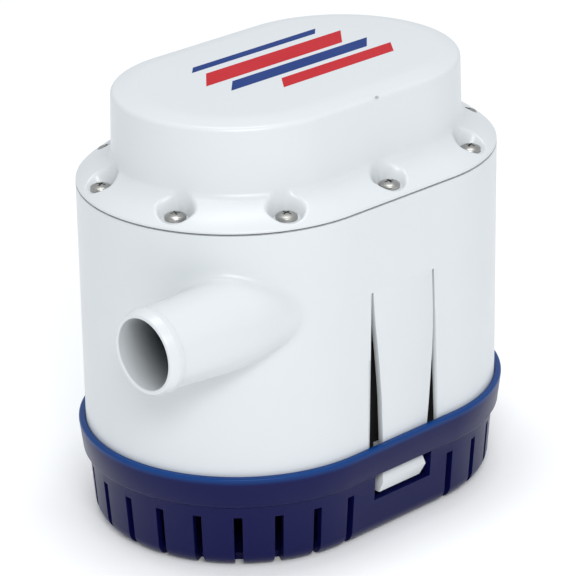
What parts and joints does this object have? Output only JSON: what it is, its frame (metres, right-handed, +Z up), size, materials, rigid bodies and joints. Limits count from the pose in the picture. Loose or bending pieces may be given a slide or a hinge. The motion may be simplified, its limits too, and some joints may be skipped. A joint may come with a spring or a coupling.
{
  "type": "submersible bilge pump",
  "caption": "Oval submersible bilge pump with a snap-off strainer base, side discharge nozzle and screwed domed cover",
  "frame": {"origin": "centre of the strainer base's flat underside", "axes": "+Z up through the cover; X along the oval's long axis, with the discharge nozzle pointing along -X"},
  "size_m": [0.1906, 0.1222, 0.1623],
  "materials": {
    "white_abs": "satin-gloss moulded ABS, cool white",
    "navy_abs": "satin moulded ABS, navy blue",
    "stainless": "passivated stainless",
    "black_rubber": "matt moulded rubber",
    "zinc_steel": "zinc-plated steel",
    "bronze": "sintered bronze",
    "copper": "enamelled or bare copper",
    "lamination": "stacked electrical steel",
    "ferrite": "dark grey ferrite or potted case",
    "carbon": "pressed carbon",
    "foam": "closed-cell foam",
    "glass": "clear glass capsule",
    "board_green": "solder-masked circuit board",
    "red_pvc": "red wire insulation"
  },
  "bodies": {
    "strainer": {"strainer_base": "navy_abs"},
    "pump": {"housing": "white_abs", "cover": "white_abs", "cover_gasket": "black_rubber", "float_stem": "white_abs", "volute_plate": "navy_abs", "motor_end_cap": "navy_abs", "cable_gland": "navy_abs", "cover_screw_01": "stainless", "cover_screw_02": "stainless", "cover_screw_03": "stainless", "cover_screw_04": "stainless", "cover_screw_05": "stainless", "cover_screw_06": "stainless", "cover_screw_07": "stainless", "cover_screw_08": "stainless", "cover_screw_09": "stainless", "cover_screw_10": "stainless", "volute_screw_1": "stainless", "volute_screw_2": "stainless", "volute_screw_3": "stainless", "volute_screw_4": "stainless", "float_stop": "stainless", "board_screw_inner": "stainless", "board_screw_outer": "stainless", "brush_spring_left": "stainless", "brush_spring_right": "stainless", "shaft_seal": "black_rubber", "motor_cushion": "black_rubber", "cable_seal": "black_rubber", "motor_lead_black": "black_rubber", "motor_can": "zinc_steel", "motor_bolt_front": "zinc_steel", "motor_bolt_rear": "zinc_steel", "board_spacer_inner": "zinc_steel", "board_spacer_outer": "zinc_steel", "lower_bearing": "bronze", "upper_bearing": "bronze", "magnet_left": "ferrite", "magnet_right": "ferrite", "relay": "ferrite", "brush_left": "carbon", "brush_right": "carbon", "reed_switch": "glass", "switch_board": "board_green", "motor_lead_red": "red_pvc"},
    "latch_front": {"latch_arm_front": "white_abs"},
    "latch_rear": {"latch_arm_rear": "white_abs"},
    "rotor": {"motor_shaft": "stainless", "armature_core": "lamination", "winding_lower": "copper", "winding_upper": "copper", "commutator": "copper", "impeller": "navy_abs", "impeller_nut": "stainless"},
    "float": {"float_body": "foam", "float_magnet": "ferrite"}
  },
  "joints": [
    {"name": "pump_lift", "type": "slide", "parent": "strainer", "child": "pump", "axis": [0, 0, 1], "range_m": [0, 0.06], "deforming": ["latch_arm_front", "latch_arm_rear"]},
    {"name": "latch_front_flex", "type": "hinge", "parent": "pump", "child": "latch_front", "pos_m": [0, -0.0553, 0.0957], "axis": [1, 0, 0], "range_deg": [0, 3], "stiffness_Nm_per_rad": 4},
    {"name": "latch_rear_flex", "type": "hinge", "parent": "pump", "child": "latch_rear", "pos_m": [0, 0.0553, 0.0957], "axis": [-1, 0, 0], "range_deg": [0, 3], "stiffness_Nm_per_rad": 4},
    {"name": "rotor_spin", "type": "hinge", "parent": "pump", "child": "rotor", "pos_m": [0, 0, 0.09], "axis": [0, 0, 1], "continuous": true},
    {"name": "float_slide", "type": "slide", "parent": "pump", "child": "float", "axis": [0, 0, 1], "range_m": [0, 0.0225]}
  ]
}
